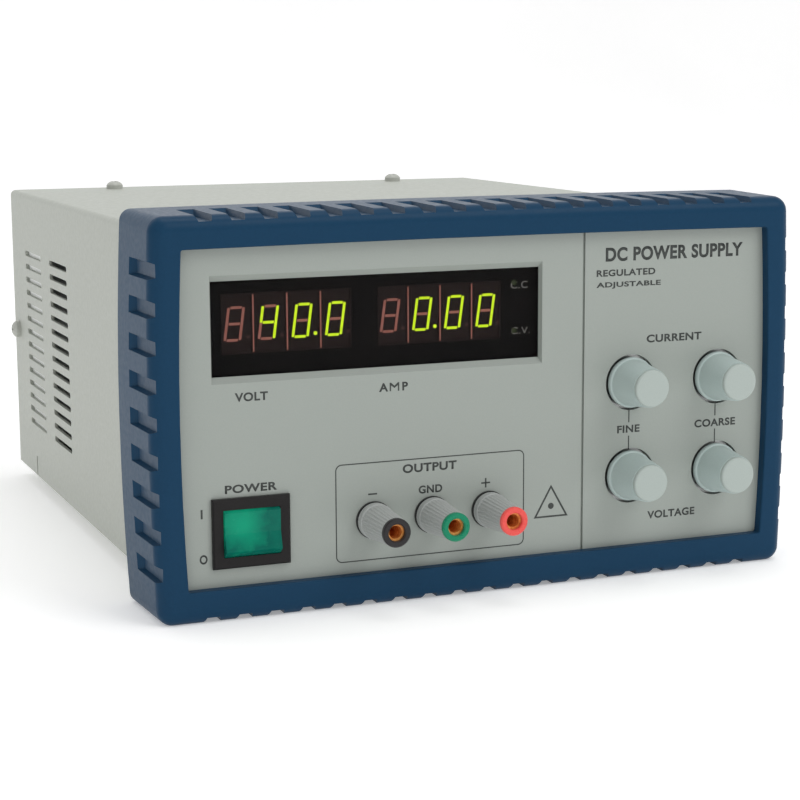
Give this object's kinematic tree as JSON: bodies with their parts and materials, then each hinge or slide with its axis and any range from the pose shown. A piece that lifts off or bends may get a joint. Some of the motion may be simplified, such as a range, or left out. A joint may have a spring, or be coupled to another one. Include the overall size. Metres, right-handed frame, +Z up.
{
  "type": "bench power supply",
  "caption": "Bench DC power supply with a blue bumper bezel, digital meters, tuning knobs, ribbed binding posts, lit rocker switch, vented grey case and rear fan.",
  "frame": {"origin": "middle of the footprint, on the bench surface", "axes": "+X to the viewer's right when facing the front panel, +Y from the front to the back, +Z up"},
  "size_m": [0.2155, 0.2601, 0.1205],
  "materials": {
    "bezel_blue": "fine satin moulded plastic",
    "panel_grey": "satin printed panel",
    "filter_smoke": "polished smoked acrylic",
    "chassis_steel": "zinc plated sheet",
    "case_paint": "fine textured light grey paint",
    "foot_rubber": "matte",
    "screw_nickel": "nickel plated",
    "display_black": "satin black moulding",
    "led_lens": "diffused epoxy lens",
    "circuit_board": "solder mask",
    "ferrite": "dark sintered ferrite",
    "winding_tape": "yellow polyester tape",
    "copper_wire": "enamelled copper",
    "capacitor_sleeve": "shrink sleeve",
    "heatsink_aluminium": "mill finish extrusion",
    "lead_jacket": "smooth insulation",
    "switch_black": "satin black",
    "terminal_nickel": "nickel plated",
    "switch_lens": "translucent green, lit from inside",
    "lamp_glass": "clear glass",
    "post_brass": "turned brass",
    "insulator_black": "moulded nylon",
    "fan_black": "glass filled plastic",
    "guard_wire": "bright plated wire",
    "inlet_black": "moulded black",
    "selector_red": "red slider",
    "knob_grey": "satin moulded grey",
    "knob_cap_grey": "satin light grey cap",
    "shaft_metal": "turned shaft",
    "post_grey": "fine ribbed grey plastic",
    "ring_black": "black insert",
    "ring_green": "green insert",
    "ring_red": "red insert"
  },
  "bodies": {
    "case": {"amp_display": "display_black", "bezel_frame": "bezel_blue", "binding_post_seats": "insulator_black", "binding_post_studs": "post_brass", "board_standoffs": "screw_nickel", "capacitors": "capacitor_sleeve", "case_screws": "screw_nickel", "chassis_pan": "case_paint", "chokes": "copper_wire", "display_filter": "filter_smoke", "fan_frame": "fan_black", "fan_guard": "guard_wire", "front_boards": "circuit_board", "front_panel": "panel_grey", "front_subpanel": "chassis_steel", "heatsinks": "heatsink_aluminium", "inlet_housing": "inlet_black", "main_board": "circuit_board", "mains_leads": "lead_jacket", "mains_terminals": "terminal_nickel", "mode_leds": "led_lens", "output_leads": "lead_jacket", "panel_nuts": "screw_nickel", "potentiometers": "chassis_steel", "power_transistors": "display_black", "rear_feet": "foot_rubber", "rear_panel": "case_paint", "selector_housing": "inlet_black", "switch_housing": "switch_black", "switch_lamp": "lamp_glass", "top_cover": "case_paint", "transformer_core": "ferrite", "transformer_winding": "winding_tape", "volt_display": "display_black"},
    "current_fine_control": {"current_fine_knob": "knob_grey", "current_fine_knob_cap": "knob_cap_grey", "current_fine_shaft": "shaft_metal"},
    "current_coarse_control": {"current_coarse_knob": "knob_grey", "current_coarse_knob_cap": "knob_cap_grey", "current_coarse_shaft": "shaft_metal"},
    "voltage_fine_control": {"voltage_fine_knob": "knob_grey", "voltage_fine_knob_cap": "knob_cap_grey", "voltage_fine_shaft": "shaft_metal"},
    "voltage_coarse_control": {"voltage_coarse_knob": "knob_grey", "voltage_coarse_knob_cap": "knob_cap_grey", "voltage_coarse_shaft": "shaft_metal"},
    "black_clamp": {"black_post_washer": "terminal_nickel"},
    "black_grip": {"black_post_grip": "post_grey", "black_post_ring": "ring_black"},
    "green_clamp": {"green_post_washer": "terminal_nickel"},
    "green_grip": {"green_post_grip": "post_grey", "green_post_ring": "ring_green"},
    "red_clamp": {"red_post_washer": "terminal_nickel"},
    "red_grip": {"red_post_grip": "post_grey", "red_post_ring": "ring_red"},
    "power_rocker": {"switch_rocker": "switch_lens"},
    "cooling_fan": {"fan_rotor": "fan_black"},
    "fuse_carrier": {"fuse_drawer": "inlet_black", "fuse": "lamp_glass"},
    "voltage_selector": {"selector_slider": "selector_red"}
  },
  "joints": [
    {"name": "current_fine_turn", "type": "hinge", "parent": "case", "child": "current_fine_control", "pos_m": [0.0499, -0.11405, 0.0624], "axis": [0, 1, 0], "range_deg": [-150, 150]},
    {"name": "current_coarse_turn", "type": "hinge", "parent": "case", "child": "current_coarse_control", "pos_m": [0.0812, -0.11405, 0.0624], "axis": [0, 1, 0], "range_deg": [-150, 150]},
    {"name": "voltage_fine_turn", "type": "hinge", "parent": "case", "child": "voltage_fine_control", "pos_m": [0.0499, -0.11405, 0.03245], "axis": [0, 1, 0], "range_deg": [-150, 150]},
    {"name": "voltage_coarse_turn", "type": "hinge", "parent": "case", "child": "voltage_coarse_control", "pos_m": [0.0812, -0.11405, 0.03245], "axis": [0, 1, 0], "range_deg": [-150, 150]},
    {"name": "black_post_travel", "type": "slide", "parent": "case", "child": "black_clamp", "axis": [0, -1, 0], "range_m": [0, 0.004]},
    {"name": "black_post_unscrew", "type": "hinge", "parent": "black_clamp", "child": "black_grip", "pos_m": [-0.03755, -0.11405, 0.02585], "axis": [0, -1, 0], "range_deg": [0, 1440]},
    {"name": "green_post_travel", "type": "slide", "parent": "case", "child": "green_clamp", "axis": [0, -1, 0], "range_m": [0, 0.004]},
    {"name": "green_post_unscrew", "type": "hinge", "parent": "green_clamp", "child": "green_grip", "pos_m": [-0.0185, -0.11405, 0.02585], "axis": [0, -1, 0], "range_deg": [0, 1440]},
    {"name": "red_post_travel", "type": "slide", "parent": "case", "child": "red_clamp", "axis": [0, -1, 0], "range_m": [0, 0.004]},
    {"name": "red_post_unscrew", "type": "hinge", "parent": "red_clamp", "child": "red_grip", "pos_m": [0.00055, -0.11405, 0.02585], "axis": [0, -1, 0], "range_deg": [0, 1440]},
    {"name": "power_rocker_tilt", "type": "hinge", "parent": "case", "child": "power_rocker", "pos_m": [-0.0765, -0.10855, 0.026], "axis": [1, 0, 0], "range_deg": [0, 16]},
    {"name": "fan_spin", "type": "hinge", "parent": "case", "child": "cooling_fan", "pos_m": [0.045, 0.11195, 0.06], "axis": [0, 1, 0], "continuous": true},
    {"name": "fuse_carrier_slide", "type": "slide", "parent": "case", "child": "fuse_carrier", "axis": [0, 1, 0], "range_m": [0, 0.024]},
    {"name": "voltage_selector_slide", "type": "slide", "parent": "case", "child": "voltage_selector", "axis": [1, 0, 0], "range_m": [0, 0.0058]}
  ],
  "couplings": [
    {"joint": "black_post_unscrew", "follows": "black_post_travel", "rad_per_m": 6283.2},
    {"joint": "green_post_unscrew", "follows": "green_post_travel", "rad_per_m": 6283.2},
    {"joint": "red_post_unscrew", "follows": "red_post_travel", "rad_per_m": 6283.2}
  ]
}
